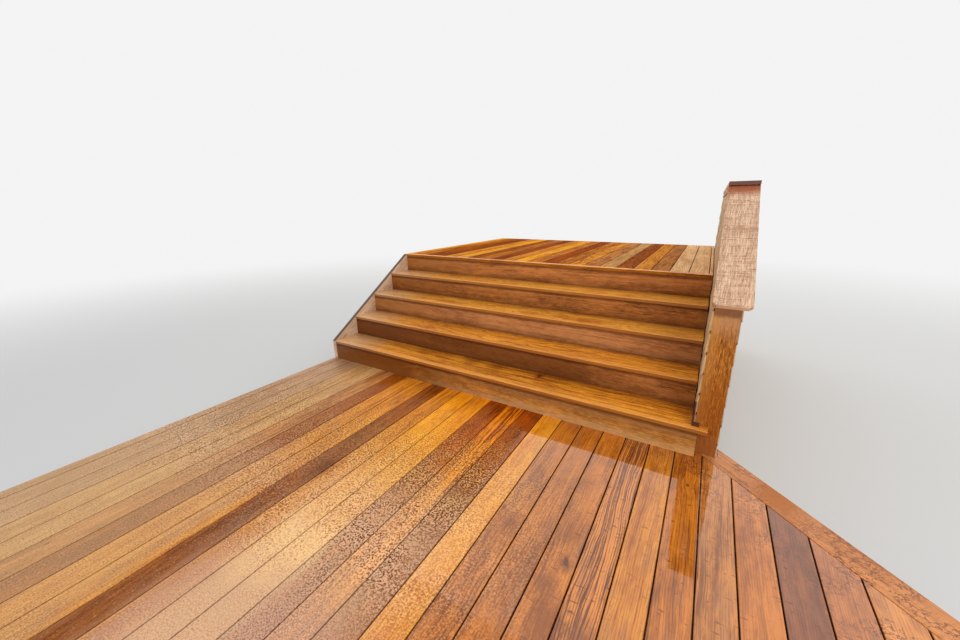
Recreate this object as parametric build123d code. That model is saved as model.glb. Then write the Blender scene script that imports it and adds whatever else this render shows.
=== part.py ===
# Wide timber deck stair: five risers between a lower and an upper deck, with a
# skirt board on the house side and a shingled knee wall under a raked cap on the
# other. Millimetres, +Z up. The pieces are laid out from the house line (x = 0),
# the face of the bottom riser (y = 0) and the lower deck's surface (z = 0), and
# are moved on export so that the origin lies on the ground under their middle.
from build123d import *
import math
import os

# Decking and framing timber
board_width = 139.7
board_thick = 25.4
board_gap = 3.2
edge_ease = 2.5
framing_thick = 38.1
joist_spacing = 406.4
deck_overhang = 20.0
seat_clearance = 0.3

# Flight
rise = 183.0
riser_count = 5
riser_thick = 19.0
nosing = 6.0
tread_back_gap = 4.0
stair_width = 3106.0
stringer_depth = 286.0
stringer_max_spacing = 406.4
skirt_depth = 292.0
top_strip_width = 60.0
tread_horn = 83.0
riser_overrun = 34.0

# Knee wall
wall_clearance = 3.0
wall_setback = 53.0
stud_depth = 88.9
sheathing = 12.7
shingle_exposure = 127.0
shingle_butt = 21.0
shingle_tip = 11.0
end_board_thick = 22.0
end_board_lap = 8.0
cap_thick = 27.0
cap_outer_overhang = 30.0
cap_end_overhang = 13.0
cap_clip = 18.0
raked_cap_height = 712.0
level_cap_height = 680.0
wall_ground_gap = 100.0
foot_block_size = (40.0, 22.0, 16.0)
foot_leg_size = (9.0, 12.0, 150.0)

# Lower deck
lower_height = 400.0
front_bays = 6
back_bays = 1
border_start = 121.0
side_reach = 938.0
lower_joist_depth = 140.0
lower_beam_depth = 140.0
lower_beam_inset = 300.0
lower_beam_max_spacing = 1250.0
post_size = 140.0
wall_post_size = 89.0
post_inset = 200.0

# Upper deck
upper_bays = 6
upper_joist_depth = 235.0
header_depth = 286.0
upper_beam_depth = 235.0
upper_beam_inset = 350.0
wall_strip_width = 24.0

# Flight, worked out
tread_depth = 2 * board_width + board_gap
run = tread_depth + tread_back_gap - nosing
slope = rise / run
rake = math.atan(slope)
total_rise = riser_count * rise
tread_count = riser_count - 1
stair_x0 = framing_thick
tread_end_x = stair_x0 + stair_width

# Knee wall, worked out
core_thick = stud_depth + 2 * sheathing
wall_x0 = tread_end_x + wall_clearance
core_x0 = wall_x0 + shingle_butt
core_x1 = core_x0 + core_thick
wall_x1 = core_x1 + shingle_butt
core_y0 = wall_setback + end_board_thick
wall_base = wall_ground_gap - lower_height
level_under = total_rise + level_cap_height - cap_thick
end_board_x0 = core_x0 - end_board_lap
end_board_x1 = core_x1 + end_board_lap
cap_x1 = wall_x1 + cap_outer_overhang

# Lower deck, worked out
deck_front = -front_bays * joist_spacing - framing_thick / 2 - deck_overhang
deck_back = back_bays * joist_spacing + framing_thick / 2
border_in = wall_x0 + border_start
border_out = border_in + board_width * math.sqrt(2)
side_x0 = wall_x0 + side_reach
side_x1 = side_x0 + board_width
lower_joist_top = -board_thick
lower_beam_top = lower_joist_top - lower_joist_depth
lower_beam_base = lower_beam_top - lower_beam_depth

# Upper deck, worked out
header_y0 = tread_count * run + riser_thick
header_y1 = header_y0 + framing_thick
upper_joist_top = total_rise - board_thick
upper_joist_base = upper_joist_top - upper_joist_depth
upper_beam_base = upper_joist_base - upper_beam_depth
upper_back_rim = header_y0 + framing_thick / 2 + upper_bays * joist_spacing
upper_back = upper_back_rim + framing_thick / 2
wall_end = upper_back + deck_overhang

origin = Vector(side_x1 / 2, (deck_front + wall_end + end_board_thick + deck_overhang) / 2, -lower_height)


def block(x0, x1, y0, y1, z0, z1):
    """A box between two corners."""
    return Pos(x0, y0, z0) * Box(x1 - x0, y1 - y0, z1 - z0, align=(Align.MIN, Align.MIN, Align.MIN))


def plan_prism(points, z0, z1):
    """An outline seen from above, extruded upward."""
    return extrude(Pos(0, 0, z0) * make_face(Polyline(*points, close=True)), amount=z1 - z0)


def side_prism(points, x0, x1):
    """An outline of (y, z) points, extruded across the stair."""
    return extrude(Plane.YZ.offset(x0) * make_face(Polyline(*points, close=True)), amount=x1 - x0)


def section_prism(points, y0, y1):
    """A section of (x, z) points, extruded away from the viewer."""
    section = Pos(0, y0, 0) * (Plane.XZ * make_face(Polyline(*points, close=True)))
    return extrude(section, amount=y1 - y0, dir=(0, 1, 0))


def deck_board(x0, x1, y0, y1, top):
    """A board laid front to back, with both top edges eased."""
    base = top - board_thick
    eased = top - edge_ease
    points = [(x0, base), (x1, base), (x1, eased), (x1 - edge_ease, top), (x0 + edge_ease, top), (x0, eased)]
    return section_prism(points, y0, y1)


def nosed_board(x0, x1, y0, y1, top):
    """A board laid across the stair, with its front edge eased above and below."""
    base = top - board_thick
    points = [(y0 + edge_ease, base), (y1, base), (y1, top), (y0 + edge_ease, top),
              (y0, top - edge_ease), (y0, base + edge_ease)]
    return side_prism(points, x0, x1)


def inset_corners(points, distance):
    """Corners of an anticlockwise outline, moved inward by one timber's thickness."""
    corners = []
    for i, corner in enumerate(points):
        before = Vector(*points[i - 1])
        here = Vector(*corner)
        after = Vector(*points[(i + 1) % len(points)])
        enter = (here - before).normalized()
        leave = (after - here).normalized()
        normal_in = Vector(-enter.Y, enter.X)
        normal_out = Vector(-leave.Y, leave.X)
        move = (normal_in + normal_out) * (distance / (1 + normal_in.dot(normal_out)))
        corners.append(((here + move).X, (here + move).Y))
    return corners


def rake_top(y):
    """Height of the raked cap's upper face."""
    return rise + (y + nosing) * slope + raked_cap_height


def rake_under(y):
    """Height of the raked cap's underside, where the wall stops."""
    return rake_top(y) - cap_thick / math.cos(rake)


def y_on_rake(height_at, z):
    """Where one of the raked lines reaches a height."""
    return (z - height_at(0.0)) / slope


def wall_outline(y0, y1, z0, drop=0.0):
    """The wall's side outline under its caps, lowered by a plate's thickness where asked."""
    def lowered(y):
        return rake_under(y) - drop / math.cos(rake)
    knee = y_on_rake(lowered, level_under - drop)
    return [(y0, z0), (y1, z0), (y1, level_under - drop), (knee, level_under - drop), (y0, lowered(y0))]


# Lower deck

def lower_outline(inset):
    """The lower deck's boarded area inside its border, clear of the knee wall."""
    diagonal = border_in - inset * math.sqrt(2)
    right = side_x0 - inset
    return [(0, deck_front), (right, deck_front), (right, diagonal - right), (diagonal - core_y0, core_y0),
            (wall_x0 - board_gap, core_y0), (wall_x0 - board_gap, deck_back), (0, deck_back)]


def lower_deck_boards():
    pitch = board_width + board_gap
    area = plan_prism(lower_outline(board_gap), -board_thick, 0)
    boards = []
    right = side_x0 - board_gap
    while right > 0:
        left = max(right - board_width, 0)
        if right - left > 4 * edge_ease:
            boards.append(deck_board(left, right, deck_front, deck_back, 0) & area)
        right -= pitch
    return boards


def lower_angled_border():
    points = [(side_x0, border_in - side_x0), (side_x1, border_out - side_x1),
              (wall_x1, border_out - wall_x1), (wall_x1, core_y0), (border_in - core_y0, core_y0)]
    return [plan_prism(points, -board_thick, 0)]


def lower_side_border():
    points = [(side_x0, deck_front), (side_x1, deck_front),
              (side_x1, border_out - side_x1), (side_x0, border_in - side_x0)]
    return [plan_prism(points, -board_thick, 0)]


def lower_frame_corners():
    """Outer corners of the lower deck's rims, anticlockwise from the front at the house."""
    diagonal = border_out - deck_overhang * math.sqrt(2)
    right = side_x1 - deck_overhang
    front = deck_front + deck_overhang
    return [(0, front), (right, front), (right, diagonal - right), (diagonal - core_y0, core_y0),
            (core_x0, core_y0), (core_x0, deck_back), (0, deck_back)]


def lower_rim(index):
    """One rim joist, mitred to its neighbours."""
    outer = lower_frame_corners()
    inner = inset_corners(outer, framing_thick)
    after = (index + 1) % len(outer)
    points = [outer[index], outer[after], inner[after], inner[index]]
    return plan_prism(points, lower_joist_top - lower_joist_depth, lower_joist_top)


def lower_cross_rims():
    return [lower_rim(0), lower_rim(3), lower_rim(5)]


def lower_long_rims():
    return [lower_rim(1), lower_rim(4), lower_rim(6)]


def lower_angled_rim():
    return [lower_rim(2)]


def lower_joists():
    inside = plan_prism(inset_corners(lower_frame_corners(), framing_thick), lower_beam_top, lower_joist_top)
    joists = []
    for bay in range(1 - front_bays, back_bays):
        y0 = bay * joist_spacing - framing_thick / 2
        joists.append(block(0, side_x1, y0, y0 + framing_thick, lower_beam_top, lower_joist_top) & inside)
    return joists


def lower_beam_lines():
    """Middle line and both ends of each beam that runs front to back."""
    lines = []
    corners = lower_frame_corners()
    diagonal = corners[2][0] + corners[2][1]
    reach = side_x1 - 2 * lower_beam_inset
    bays = math.ceil(reach / lower_beam_max_spacing)
    for i in range(bays + 1):
        x = lower_beam_inset + reach * i / bays
        back = min(deck_back, diagonal - x - framing_thick)
        lines.append((x, deck_front + deck_overhang, back))
    return lines


def lower_beams():
    return [block(x - framing_thick, x + framing_thick, y0, y1, lower_beam_base, lower_beam_top)
            for x, y0, y1 in lower_beam_lines()]


def post_row(x, y0, y1, count, size, top):
    """Square posts standing on the ground along a line."""
    posts = []
    for i in range(count):
        y = y0 + (y1 - y0) * i / (count - 1)
        posts.append(block(x - size / 2, x + size / 2, y - size / 2, y + size / 2, -lower_height, top))
    return posts


def lower_posts():
    posts = []
    for x, y0, y1 in lower_beam_lines():
        posts += post_row(x, y0 + post_inset, y1 - post_inset, 3, post_size, lower_beam_base)
    return posts


# Flight

def stringer(x):
    """A sawn stringer: a level foot, a seat under each tread and a plumb cut at the header."""
    points = [(riser_thick, 0)]
    for step in range(tread_count):
        seat = (step + 1) * rise - board_thick
        points.append((riser_thick + step * run, seat))
        points.append((riser_thick + (step + 1) * run, seat))

    def lower_edge(y):
        return rise - board_thick + (y - riser_thick) * slope - stringer_depth / math.cos(rake)
    points.append((header_y0, lower_edge(header_y0)))
    points.append((y_on_rake(lower_edge, 0.0), 0))
    return side_prism(points, x, x + framing_thick)


def stringers():
    reach = stair_width - framing_thick
    count = math.ceil(reach / stringer_max_spacing) + 1
    return [stringer(stair_x0 + reach * i / (count - 1)) for i in range(count)]


def tread(step):
    """Two boards with an open joint, stopped short of the knee wall."""
    y0 = (step - 1) * run - nosing
    top = step * rise
    front = nosed_board(stair_x0, tread_end_x, y0, y0 + board_width, top)
    if step == 1:
        front += nosed_board(tread_end_x, wall_x0 + tread_horn, y0, wall_setback, top)
    back = block(stair_x0, tread_end_x, y0 + board_width + board_gap, y0 + tread_depth, top - board_thick, top)
    return [front, back]


def riser(step):
    """A full-height riser board; the bottom one runs on in front of the wall's end board."""
    y0 = (step - 1) * run
    base = 0 if step == 1 else (step - 1) * rise - board_thick
    end = wall_x0 + riser_overrun if step == 1 else tread_end_x
    return [block(stair_x0, end, y0, y0 + riser_thick, base, step * rise - board_thick)]


def house_skirt_board():
    """The board between the treads and the house, cut to the nosing line."""
    def lower_edge(y):
        return rise + (y + nosing) * slope - skirt_depth / math.cos(rake)
    tip = tread_count * run - nosing
    points = [(-nosing, 0), (-nosing, rise), (tip, total_rise), (tip, upper_joist_top),
              (header_y0, upper_joist_top), (header_y0, lower_edge(header_y0)),
              (y_on_rake(lower_edge, 0.0), 0)]
    return [side_prism(points, 0, stair_x0)]


def top_nosing_strip():
    y0 = tread_count * run - nosing
    return [nosed_board(0, tread_end_x, y0, y0 + top_strip_width, total_rise)]


# Upper deck

def upper_deck_boards():
    pitch = board_width + board_gap
    y0 = tread_count * run - nosing + top_strip_width + board_gap
    right = wall_x0 - board_gap
    boards = [deck_board(right - wall_strip_width, right, y0, wall_end, total_rise)]
    right -= wall_strip_width + board_gap
    while right > 0:
        left = max(right - board_width, 0)
        if right - left > 4 * edge_ease:
            boards.append(deck_board(left, right, y0, wall_end, total_rise))
        right -= pitch
    return boards


def upper_header():
    return [block(0, core_x0, header_y0, header_y1, upper_joist_top - header_depth, upper_joist_top)]


def upper_side_rims():
    y1 = upper_back - framing_thick
    return [block(0, framing_thick, header_y1, y1, upper_joist_base, upper_joist_top),
            block(core_x0 - framing_thick, core_x0, header_y1, y1, upper_joist_base, upper_joist_top)]


def upper_back_rim_joist():
    return [block(0, core_x0, upper_back - framing_thick, upper_back, upper_joist_base, upper_joist_top)]


def upper_joists():
    joists = []
    for bay in range(1, upper_bays):
        y0 = header_y0 + bay * joist_spacing
        joists.append(block(framing_thick, core_x0 - framing_thick, y0, y0 + framing_thick,
                            upper_joist_base, upper_joist_top))
    return joists


def upper_beam_lines():
    return [upper_beam_inset, core_x0 - upper_beam_inset]


def upper_beams():
    return [block(x - framing_thick, x + framing_thick, header_y1, upper_back, upper_beam_base, upper_joist_base)
            for x in upper_beam_lines()]


def upper_posts():
    posts = []
    for x in upper_beam_lines():
        posts += post_row(x, header_y1 + post_inset, upper_back - post_inset, 3, post_size, upper_beam_base)
    return posts


# Knee wall

def wall_plates():
    """Bottom plate, raked top plate and level top plate, the last two mitred at the knee."""
    x0 = core_x0 + sheathing
    x1 = core_x1 - sheathing
    outer = wall_outline(core_y0, wall_end, wall_base)
    inner = wall_outline(core_y0, wall_end, wall_base, framing_thick)
    raked = [outer[4], inner[4], inner[3], outer[3]]
    level = [(outer[3][0] + seat_clearance, outer[3][1]), (inner[3][0] + seat_clearance, inner[3][1]),
             inner[2], outer[2]]
    return [block(x0, x1, core_y0, wall_end, wall_base, wall_base + framing_thick),
            side_prism(raked, x0, x1), side_prism(level, x0, x1)]


def wall_studs():
    x0 = core_x0 + sheathing
    x1 = core_x1 - sheathing
    inside = side_prism(wall_outline(core_y0, wall_end, wall_base + framing_thick, framing_thick), x0, x1)
    count = math.ceil((wall_end - core_y0 - framing_thick) / joist_spacing) + 1
    studs = []
    for i in range(count):
        y0 = core_y0 + (wall_end - core_y0 - framing_thick) * i / (count - 1)
        studs.append(block(x0, x1, y0, y0 + framing_thick, wall_base, level_under) & inside)
    return studs


def wall_sheathing():
    outline = wall_outline(core_y0, wall_end, wall_base)
    return [side_prism(outline, core_x0, core_x0 + sheathing), side_prism(outline, core_x1 - sheathing, core_x1)]


def shingle_courses(face_x, side, z0):
    """Courses lapped like saw teeth on a sheathed face, run out over both end boards' edges."""
    points = [(face_x, z0)]
    count = math.ceil((level_under - z0) / shingle_exposure)
    for i in range(count):
        base = z0 + i * shingle_exposure
        points.append((face_x + side * shingle_butt, base))
        points.append((face_x + side * shingle_tip, base + shingle_exposure))
    points.append((face_x, z0 + count * shingle_exposure))
    return section_prism(points, wall_setback, wall_end + end_board_thick) - end_boards()


def wall_inner_shingles():
    """Cladding seen from the stair: down to the lower deck beside the flight, to the deck above it."""
    outline = wall_outline(wall_setback, wall_end + end_board_thick, upper_joist_top)
    beside = [(wall_setback, 0), (header_y0, 0), (header_y0, upper_joist_top)] + outline[1:]
    return [shingle_courses(core_x0, -1, 0) & side_prism(beside, wall_x0, core_x0)]


def wall_outer_shingles():
    outline = wall_outline(wall_setback, wall_end + end_board_thick, wall_base)
    beyond = [(wall_setback, 0), (core_y0, 0), (core_y0, wall_base)] + outline[1:]
    return [shingle_courses(core_x1, 1, wall_base) & side_prism(beyond, core_x1, wall_x1)]


def wall_end_board():
    """The wide board that closes the wall's near end, from the lower deck to the raked cap."""
    points = [(wall_setback, 0), (core_y0, 0), (core_y0, rake_under(core_y0)),
              (wall_setback, rake_under(wall_setback))]
    return [side_prism(points, end_board_x0, end_board_x1)]


def wall_back_board():
    return [block(end_board_x0, end_board_x1, wall_end, wall_end + end_board_thick, wall_base, level_under)]


def end_boards():
    """The space that both end boards take out of the cladding beside them."""
    return (block(end_board_x0, end_board_x1, wall_setback, core_y0, wall_base, level_under)
            + block(end_board_x0, end_board_x1, wall_end, wall_end + end_board_thick, wall_base, level_under))


def wall_posts():
    x = (core_x0 + core_x1) / 2
    return post_row(x, core_y0 + post_inset, wall_end - post_inset, 4, wall_post_size, wall_base)


def raked_cap():
    """The sloping cap: near corners clipped, square near end, cut level under the upper cap."""
    near = wall_setback - cap_end_overhang
    length = 2 * (level_under - rake_top(near)) / math.sin(rake)
    outline = [(wall_x0 + cap_clip, 0), (cap_x1 - cap_clip, 0), (cap_x1, cap_clip), (cap_x1, length),
               (wall_x0, length), (wall_x0, cap_clip)]
    upper_face = Plane(origin=(0, near, rake_top(near)), x_dir=(1, 0, 0), z_dir=(0, -math.sin(rake), math.cos(rake)))
    strip = extrude(upper_face * make_face(Polyline(*outline, close=True)), amount=-cap_thick)
    below = block(wall_x0, cap_x1, near, wall_end, 0, level_under)
    return [strip & below]


def level_cap():
    y0 = y_on_rake(rake_top, level_under) - deck_overhang
    y1 = wall_end + end_board_thick + deck_overhang
    return [block(wall_x0, cap_x1, y0, y1, level_under, level_under + cap_thick)]


def wall_foot_block():
    """The dark angle on the bottom tread: a short foot, and a leg up in front of the cladding's end."""
    size_x, size_y, size_z = foot_block_size
    leg_x, leg_y, leg_z = foot_leg_size
    y1 = wall_setback - seat_clearance
    foot = block(tread_end_x, tread_end_x + size_x, y1 - size_y, y1, rise, rise + size_z)
    return [foot + block(tread_end_x, tread_end_x + leg_x, y1 - leg_y, y1, rise, rise + leg_z)]


def all_nodes():
    nodes = {
        "lower_deck_boards": lower_deck_boards(),
        "lower_angled_border": lower_angled_border(),
        "lower_side_border": lower_side_border(),
        "lower_cross_rims": lower_cross_rims(),
        "lower_long_rims": lower_long_rims(),
        "lower_angled_rim": lower_angled_rim(),
        "lower_joists": lower_joists(),
        "lower_beams": lower_beams(),
        "lower_posts": lower_posts(),
        "house_skirt_board": house_skirt_board(),
        "stringers": stringers(),
        "top_nosing_strip": top_nosing_strip(),
        "upper_deck_boards": upper_deck_boards(),
        "upper_header": upper_header(),
        "upper_side_rims": upper_side_rims(),
        "upper_back_rim": upper_back_rim_joist(),
        "upper_joists": upper_joists(),
        "upper_beams": upper_beams(),
        "upper_posts": upper_posts(),
        "wall_plates": wall_plates(),
        "wall_studs": wall_studs(),
        "wall_sheathing": wall_sheathing(),
        "wall_inner_shingles": wall_inner_shingles(),
        "wall_outer_shingles": wall_outer_shingles(),
        "wall_end_board": wall_end_board(),
        "wall_back_board": wall_back_board(),
        "wall_posts": wall_posts(),
        "wall_foot_block": wall_foot_block(),
        "raked_cap": raked_cap(),
        "level_cap": level_cap(),
    }
    for step in range(1, riser_count):
        nodes[f"tread_{step}"] = tread(step)
    for step in range(1, riser_count + 1):
        nodes[f"riser_{step}"] = riser(step)
    return nodes


def solids_of(pieces):
    """Every solid in a list of shapes, moved to the export frame."""
    found = []
    for piece in pieces:
        found += [solid.moved(Location(-origin)) for solid in piece.solids()]
    return found


os.makedirs("parts", exist_ok=True)
for node, pieces in all_nodes().items():
    solids = solids_of(pieces)
    shape = solids[0] if len(solids) == 1 else Compound(children=solids)
    export_step(shape, f"parts/{node}.step")
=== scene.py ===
import math
import random

import bmesh
import bpy
from mathutils import Matrix, Vector


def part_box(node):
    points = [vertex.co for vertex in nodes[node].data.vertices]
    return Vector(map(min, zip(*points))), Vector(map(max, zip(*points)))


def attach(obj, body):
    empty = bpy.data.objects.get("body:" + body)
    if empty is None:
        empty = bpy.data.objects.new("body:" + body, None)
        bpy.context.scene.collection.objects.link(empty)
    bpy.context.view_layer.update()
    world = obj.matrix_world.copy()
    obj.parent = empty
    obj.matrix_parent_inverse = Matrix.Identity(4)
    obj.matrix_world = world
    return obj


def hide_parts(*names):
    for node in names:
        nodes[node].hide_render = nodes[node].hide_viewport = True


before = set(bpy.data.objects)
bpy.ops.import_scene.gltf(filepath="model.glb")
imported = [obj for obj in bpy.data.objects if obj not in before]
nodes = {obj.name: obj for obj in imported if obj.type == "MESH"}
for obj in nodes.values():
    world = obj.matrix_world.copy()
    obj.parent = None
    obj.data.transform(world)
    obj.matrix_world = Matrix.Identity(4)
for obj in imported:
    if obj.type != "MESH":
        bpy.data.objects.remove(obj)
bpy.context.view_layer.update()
print("frame loaded:", len(nodes), "nodes")

bpy.context.scene.view_settings.view_transform = "Standard"


# small helpers for shader trees

def colour(red, green, blue):
    def linear(value):
        value /= 255
        return value / 12.92 if value <= 0.04045 else ((value + 0.055) / 1.055) ** 2.4
    return (linear(red), linear(green), linear(blue), 1.0)


def plug(socket, value):
    if isinstance(value, bpy.types.NodeSocket):
        socket.id_data.links.new(value, socket)
    else:
        socket.default_value = value


def feed(node, inputs):
    for key, value in inputs.items():
        plug(node.inputs[key], value)
    return node


def addNode(tree, kind, inputs={}, **settings):
    node = tree.nodes.new(kind)
    for key, value in settings.items():
        setattr(node, key, value)
    return feed(node, inputs)


def treeOf(*values):  # the node tree that the sockets among the values are in
    return next(value.id_data for value in values if isinstance(value, bpy.types.NodeSocket))


def calc(operation, first, second=0.0, third=0.0, clamp=False):
    return addNode(treeOf(first, second, third), "ShaderNodeMath", {0: first, 1: second, 2: third},
                   operation=operation, use_clamp=clamp).outputs[0]


def times(first, second):
    return calc("MULTIPLY", first, second)


def plus(first, second):
    return calc("ADD", first, second)


def minus(first, second):
    return calc("SUBTRACT", first, second)


def scaled(value, factor, offset):
    return calc("MULTIPLY_ADD", value, factor, offset)


def swing(value, size):  # noise from 0 to 1, made to swing both ways round 0
    return scaled(value, size, -size / 2)


def vectorCalc(operation, first, second=(0, 0, 0)):
    return addNode(treeOf(first, second), "ShaderNodeVectorMath", {0: first, 1: second},
                   operation=operation).outputs


def stretched(vector, along, across, through=None):
    return vectorCalc("MULTIPLY", vector, (along, across, across if through is None else through))[0]


def shifted(vector, offset):
    return vectorCalc("ADD", vector, offset)[0]


def lengthOf(vector):
    return vectorCalc("LENGTH", vector)["Value"]


def joined(first, second, third=0.0):
    return addNode(treeOf(first, second, third), "ShaderNodeCombineXYZ",
                   {0: first, 1: second, 2: third}).outputs[0]


def parted(vector):
    return addNode(treeOf(vector), "ShaderNodeSeparateXYZ", {0: vector}).outputs


def noise(vector, scale, detail, roughness=0.5):
    return addNode(treeOf(vector), "ShaderNodeTexNoise", {
        "Vector": vector, "Scale": scale, "Detail": detail, "Roughness": roughness}).outputs[0]


def drawnNoise(vector, along, across, detail, roughness):  # drawn out: cells to the metre each way
    return noise(stretched(vector, along, across), 1.0, detail, roughness)


def drawLot(seed):
    return addNode(treeOf(seed), "ShaderNodeTexWhiteNoise", {"W": seed}, noise_dimensions="1D").outputs


def remap(value, low, high, toLow=0.0, toHigh=1.0):
    return addNode(treeOf(value), "ShaderNodeMapRange", {
        "Value": value, "From Min": low, "From Max": high, "To Min": toLow, "To Max": toHigh},
        interpolation_type="SMOOTHSTEP").outputs[0]


def blend(factor, first, second, mode="MIX"):
    return addNode(treeOf(factor, first, second), "ShaderNodeMix", {0: factor, 6: first, 7: second},
                   data_type="RGBA", blend_type=mode, clamp_factor=True).outputs[2]  # 6, 7 and 2 are colours


def painted(paint, mask, share, shade):  # a share of the shade where the mask is 1
    return blend(times(mask, share), paint, colour(*shade))


def bumped(height, strength, distance):
    return addNode(treeOf(height), "ShaderNodeBump", {
        "Height": height, "Strength": strength, "Distance": distance}).outputs[0]


def startGroup(name, inputs, outputs):
    tree = bpy.data.node_groups.new(name, "ShaderNodeTree")
    kinds = {"value": "NodeSocketFloat", "colour": "NodeSocketColor", "vector": "NodeSocketVector"}
    for label, kind in inputs:
        tree.interface.new_socket(label, in_out="INPUT", socket_type=kinds[kind])
    for label, kind in outputs:
        tree.interface.new_socket(label, in_out="OUTPUT", socket_type=kinds[kind])
    return tree, tree.nodes.new("NodeGroupInput").outputs, tree.nodes.new("NodeGroupOutput").inputs


def useGroup(group, inputs):
    return addNode(treeOf(*inputs.values()), "ShaderNodeGroup", inputs, node_tree=group).outputs


# a sawn board: X runs along the grain, Y across the face and Z through the thickness, in metres
# here and below, a range is two places, and where there are two more numbers, the values at them

grainLook = {
    "cells": (1.6, 5.0),  # knot cells to the metre, along and across
    "knot": (0.010, 0.019, 1.0, 0.0),
    "swell": (0.0, 0.075, 0.030, 0.0),  # rings rise round a knot
    "rings": 108.0,  # to the metre
    "fullTurn": 6.2832,
    "ring": (0.15, 0.95),
    "band": (0.28, 0.72),
    "pores": (0.57, 0.66),
    "darkLines": (0.53, 0.60),
    "paleLines": (0.40, 0.47, 1.0, 0.0),
    "heart": (62, 30, 16),
}
grainNoise = {  # cells to the metre along and across, detail, roughness
    "wander": (0.9, 2.2, 3.0, 0.55), "wobble": (3.0, 14.0, 2.0, 0.5), "cloud": (2.4, 9.0, 2.0, 0.55),
    "mottle": (11.0, 30.0, 3.0, 0.65), "fibre": (11.0, 200.0, 4.0, 0.75), "streak": (1.5, 36.0, 3.0, 0.6),
    "pores": (20.0, 300.0, 2.0, 0.6), "lines": (1.7, 84.0, 3.0, 0.62),
}


def buildPlankGrain():
    values = [(label, "value") for label in ("Figure", "Fibre", "Streak", "Mottle", "Knots")]
    tree, given, result = startGroup(
        "plankGrain",
        [("Vector", "vector"), ("Seed", "value"), ("Pale", "colour"), ("Dark", "colour")] + values,
        [("Colour", "colour"), ("Height", "value")])
    luck = parted(drawLot(given["Seed"])["Color"])
    offset = joined(times(luck[2], 37.0), swing(luck[0], 0.30), scaled(luck[1], 0.07, 0.02))
    place = shifted(given["Vector"], offset)
    along, across, through = parted(place)

    # knots sit at the middles of stretched cells, and only some cells hold one
    alongCells, acrossCells = grainLook["cells"]
    cells = joined(times(along, alongCells), times(across, acrossCells))
    cell = addNode(tree, "ShaderNodeTexVoronoi", {"Vector": cells, "Scale": 1.0}, voronoi_dimensions="2D")
    middle = parted(cell.outputs["Position"])
    offAlong = minus(along, calc("DIVIDE", middle[0], alongCells))
    offAcross = minus(across, calc("DIVIDE", middle[1], acrossCells))
    away = lengthOf(joined(times(offAlong, 0.7), offAcross))
    chosen = calc("LESS_THAN", parted(cell.outputs["Color"])[0], given["Knots"])
    ragged = scaled(noise(place, 60.0, 2.0), 0.012, away)
    knot = times(remap(ragged, *grainLook["knot"]), chosen)
    swell = times(remap(away, *grainLook["swell"]), chosen)

    # growth rings round a wandering pith, cut by the face
    wander, wobble, cloud, mottle = (drawnNoise(place, *grainNoise[kind])
                                     for kind in ("wander", "wobble", "cloud", "mottle"))
    depth = plus(through, plus(swell, scaled(wander, 0.16, -0.06)))
    sideways = plus(across, swing(wobble, 0.018))
    radius = calc("SQRT", plus(times(depth, depth), times(sideways, sideways)))
    uneven = noise(joined(times(radius, 24.0), times(along, 0.7)), 1.0, 2.0)
    rings = plus(times(radius, grainLook["rings"]), times(uneven, 2.4))
    fine = remap(calc("SINE", times(rings, grainLook["fullTurn"])), *grainLook["ring"])
    bandSpace = joined(times(rings, 0.8), times(along, 0.5), luck[0])
    band = remap(noise(bandSpace, 1.0, 3.0, 0.6), *grainLook["band"])

    # fibres and pores drawn out along the board
    slope = times(swing(luck[1], 0.16), along)
    wandered = plus(plus(across, slope), swing(wobble, 0.030))
    drawn = joined(along, wandered, through)
    fibre, streak, pores, lines = (drawnNoise(drawn, *grainNoise[kind])
                                   for kind in ("fibre", "streak", "pores", "lines"))
    pores = remap(pores, *grainLook["pores"])
    darkLines = remap(lines, *grainLook["darkLines"])
    paleLines = remap(lines, *grainLook["paleLines"])

    # each part moves the tone from the pale wood towards the dark and back
    ring = plus(swing(band, 1.0), scaled(fine, 0.70, -0.25))
    ringPart = times(ring, given["Figure"])
    fibrePart = times(swing(fibre, 3.4), given["Fibre"])
    crisp = minus(times(darkLines, 0.95), times(paleLines, 0.55))
    streakPart = times(plus(swing(streak, 2.2), crisp), given["Streak"])
    cloudPart = times(plus(swing(cloud, 2.4), swing(mottle, 1.8)), given["Mottle"])
    linePart = plus(plus(ringPart, fibrePart), streakPart)
    tone = calc("ADD", linePart, plus(cloudPart, 0.40), clamp=True)
    wood = blend(tone, given["Pale"], given["Dark"])
    poreShare = times(pores, times(given["Fibre"], 0.85))
    wood = blend(poreShare, wood, given["Dark"], "MULTIPLY")
    heart = blend(0.75, given["Dark"], colour(*grainLook["heart"]))
    plug(result["Colour"], blend(times(knot, 0.85), wood, heart))
    relief = scaled(fine, times(given["Figure"], 0.25), fibre)
    plug(result["Height"], minus(relief, times(pores, 0.6)))
    return tree


# saw marks across a rough board, with a few deeper bands

sawLook = {"skew": 0.03, "cut": (0.50, 0.62), "breaks": (0.38, 0.60, 0.15, 1.0), "bands": (0.58, 0.76)}


def buildSawMarks():
    tree, given, result = startGroup("sawMarks", [("Vector", "vector"), ("Pitch", "value")],
                                     [("Mark", "value"), ("Band", "value")])
    skewed = addNode(tree, "ShaderNodeMapping", {
        "Vector": given["Vector"], "Rotation": (0, 0, sawLook["skew"])}).outputs[0]
    along, across, through = parted(skewed)
    lines = calc("DIVIDE", along, given["Pitch"])
    cut = noise(joined(lines, times(across, 7.0), through), 1.0, 3.0, 0.6)
    breaks = drawnNoise(given["Vector"], 60.0, 90.0, 2.0, 0.6)
    bandSpace = joined(times(along, 14.0), times(across, 1.2), through)
    bands = noise(bandSpace, 1.0, 3.0, 0.7)
    mark = times(remap(cut, *sawLook["cut"]), remap(breaks, *sawLook["breaks"]))
    plug(result["Mark"], mark)
    plug(result["Band"], remap(bands, *sawLook["bands"]))
    return tree


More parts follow.
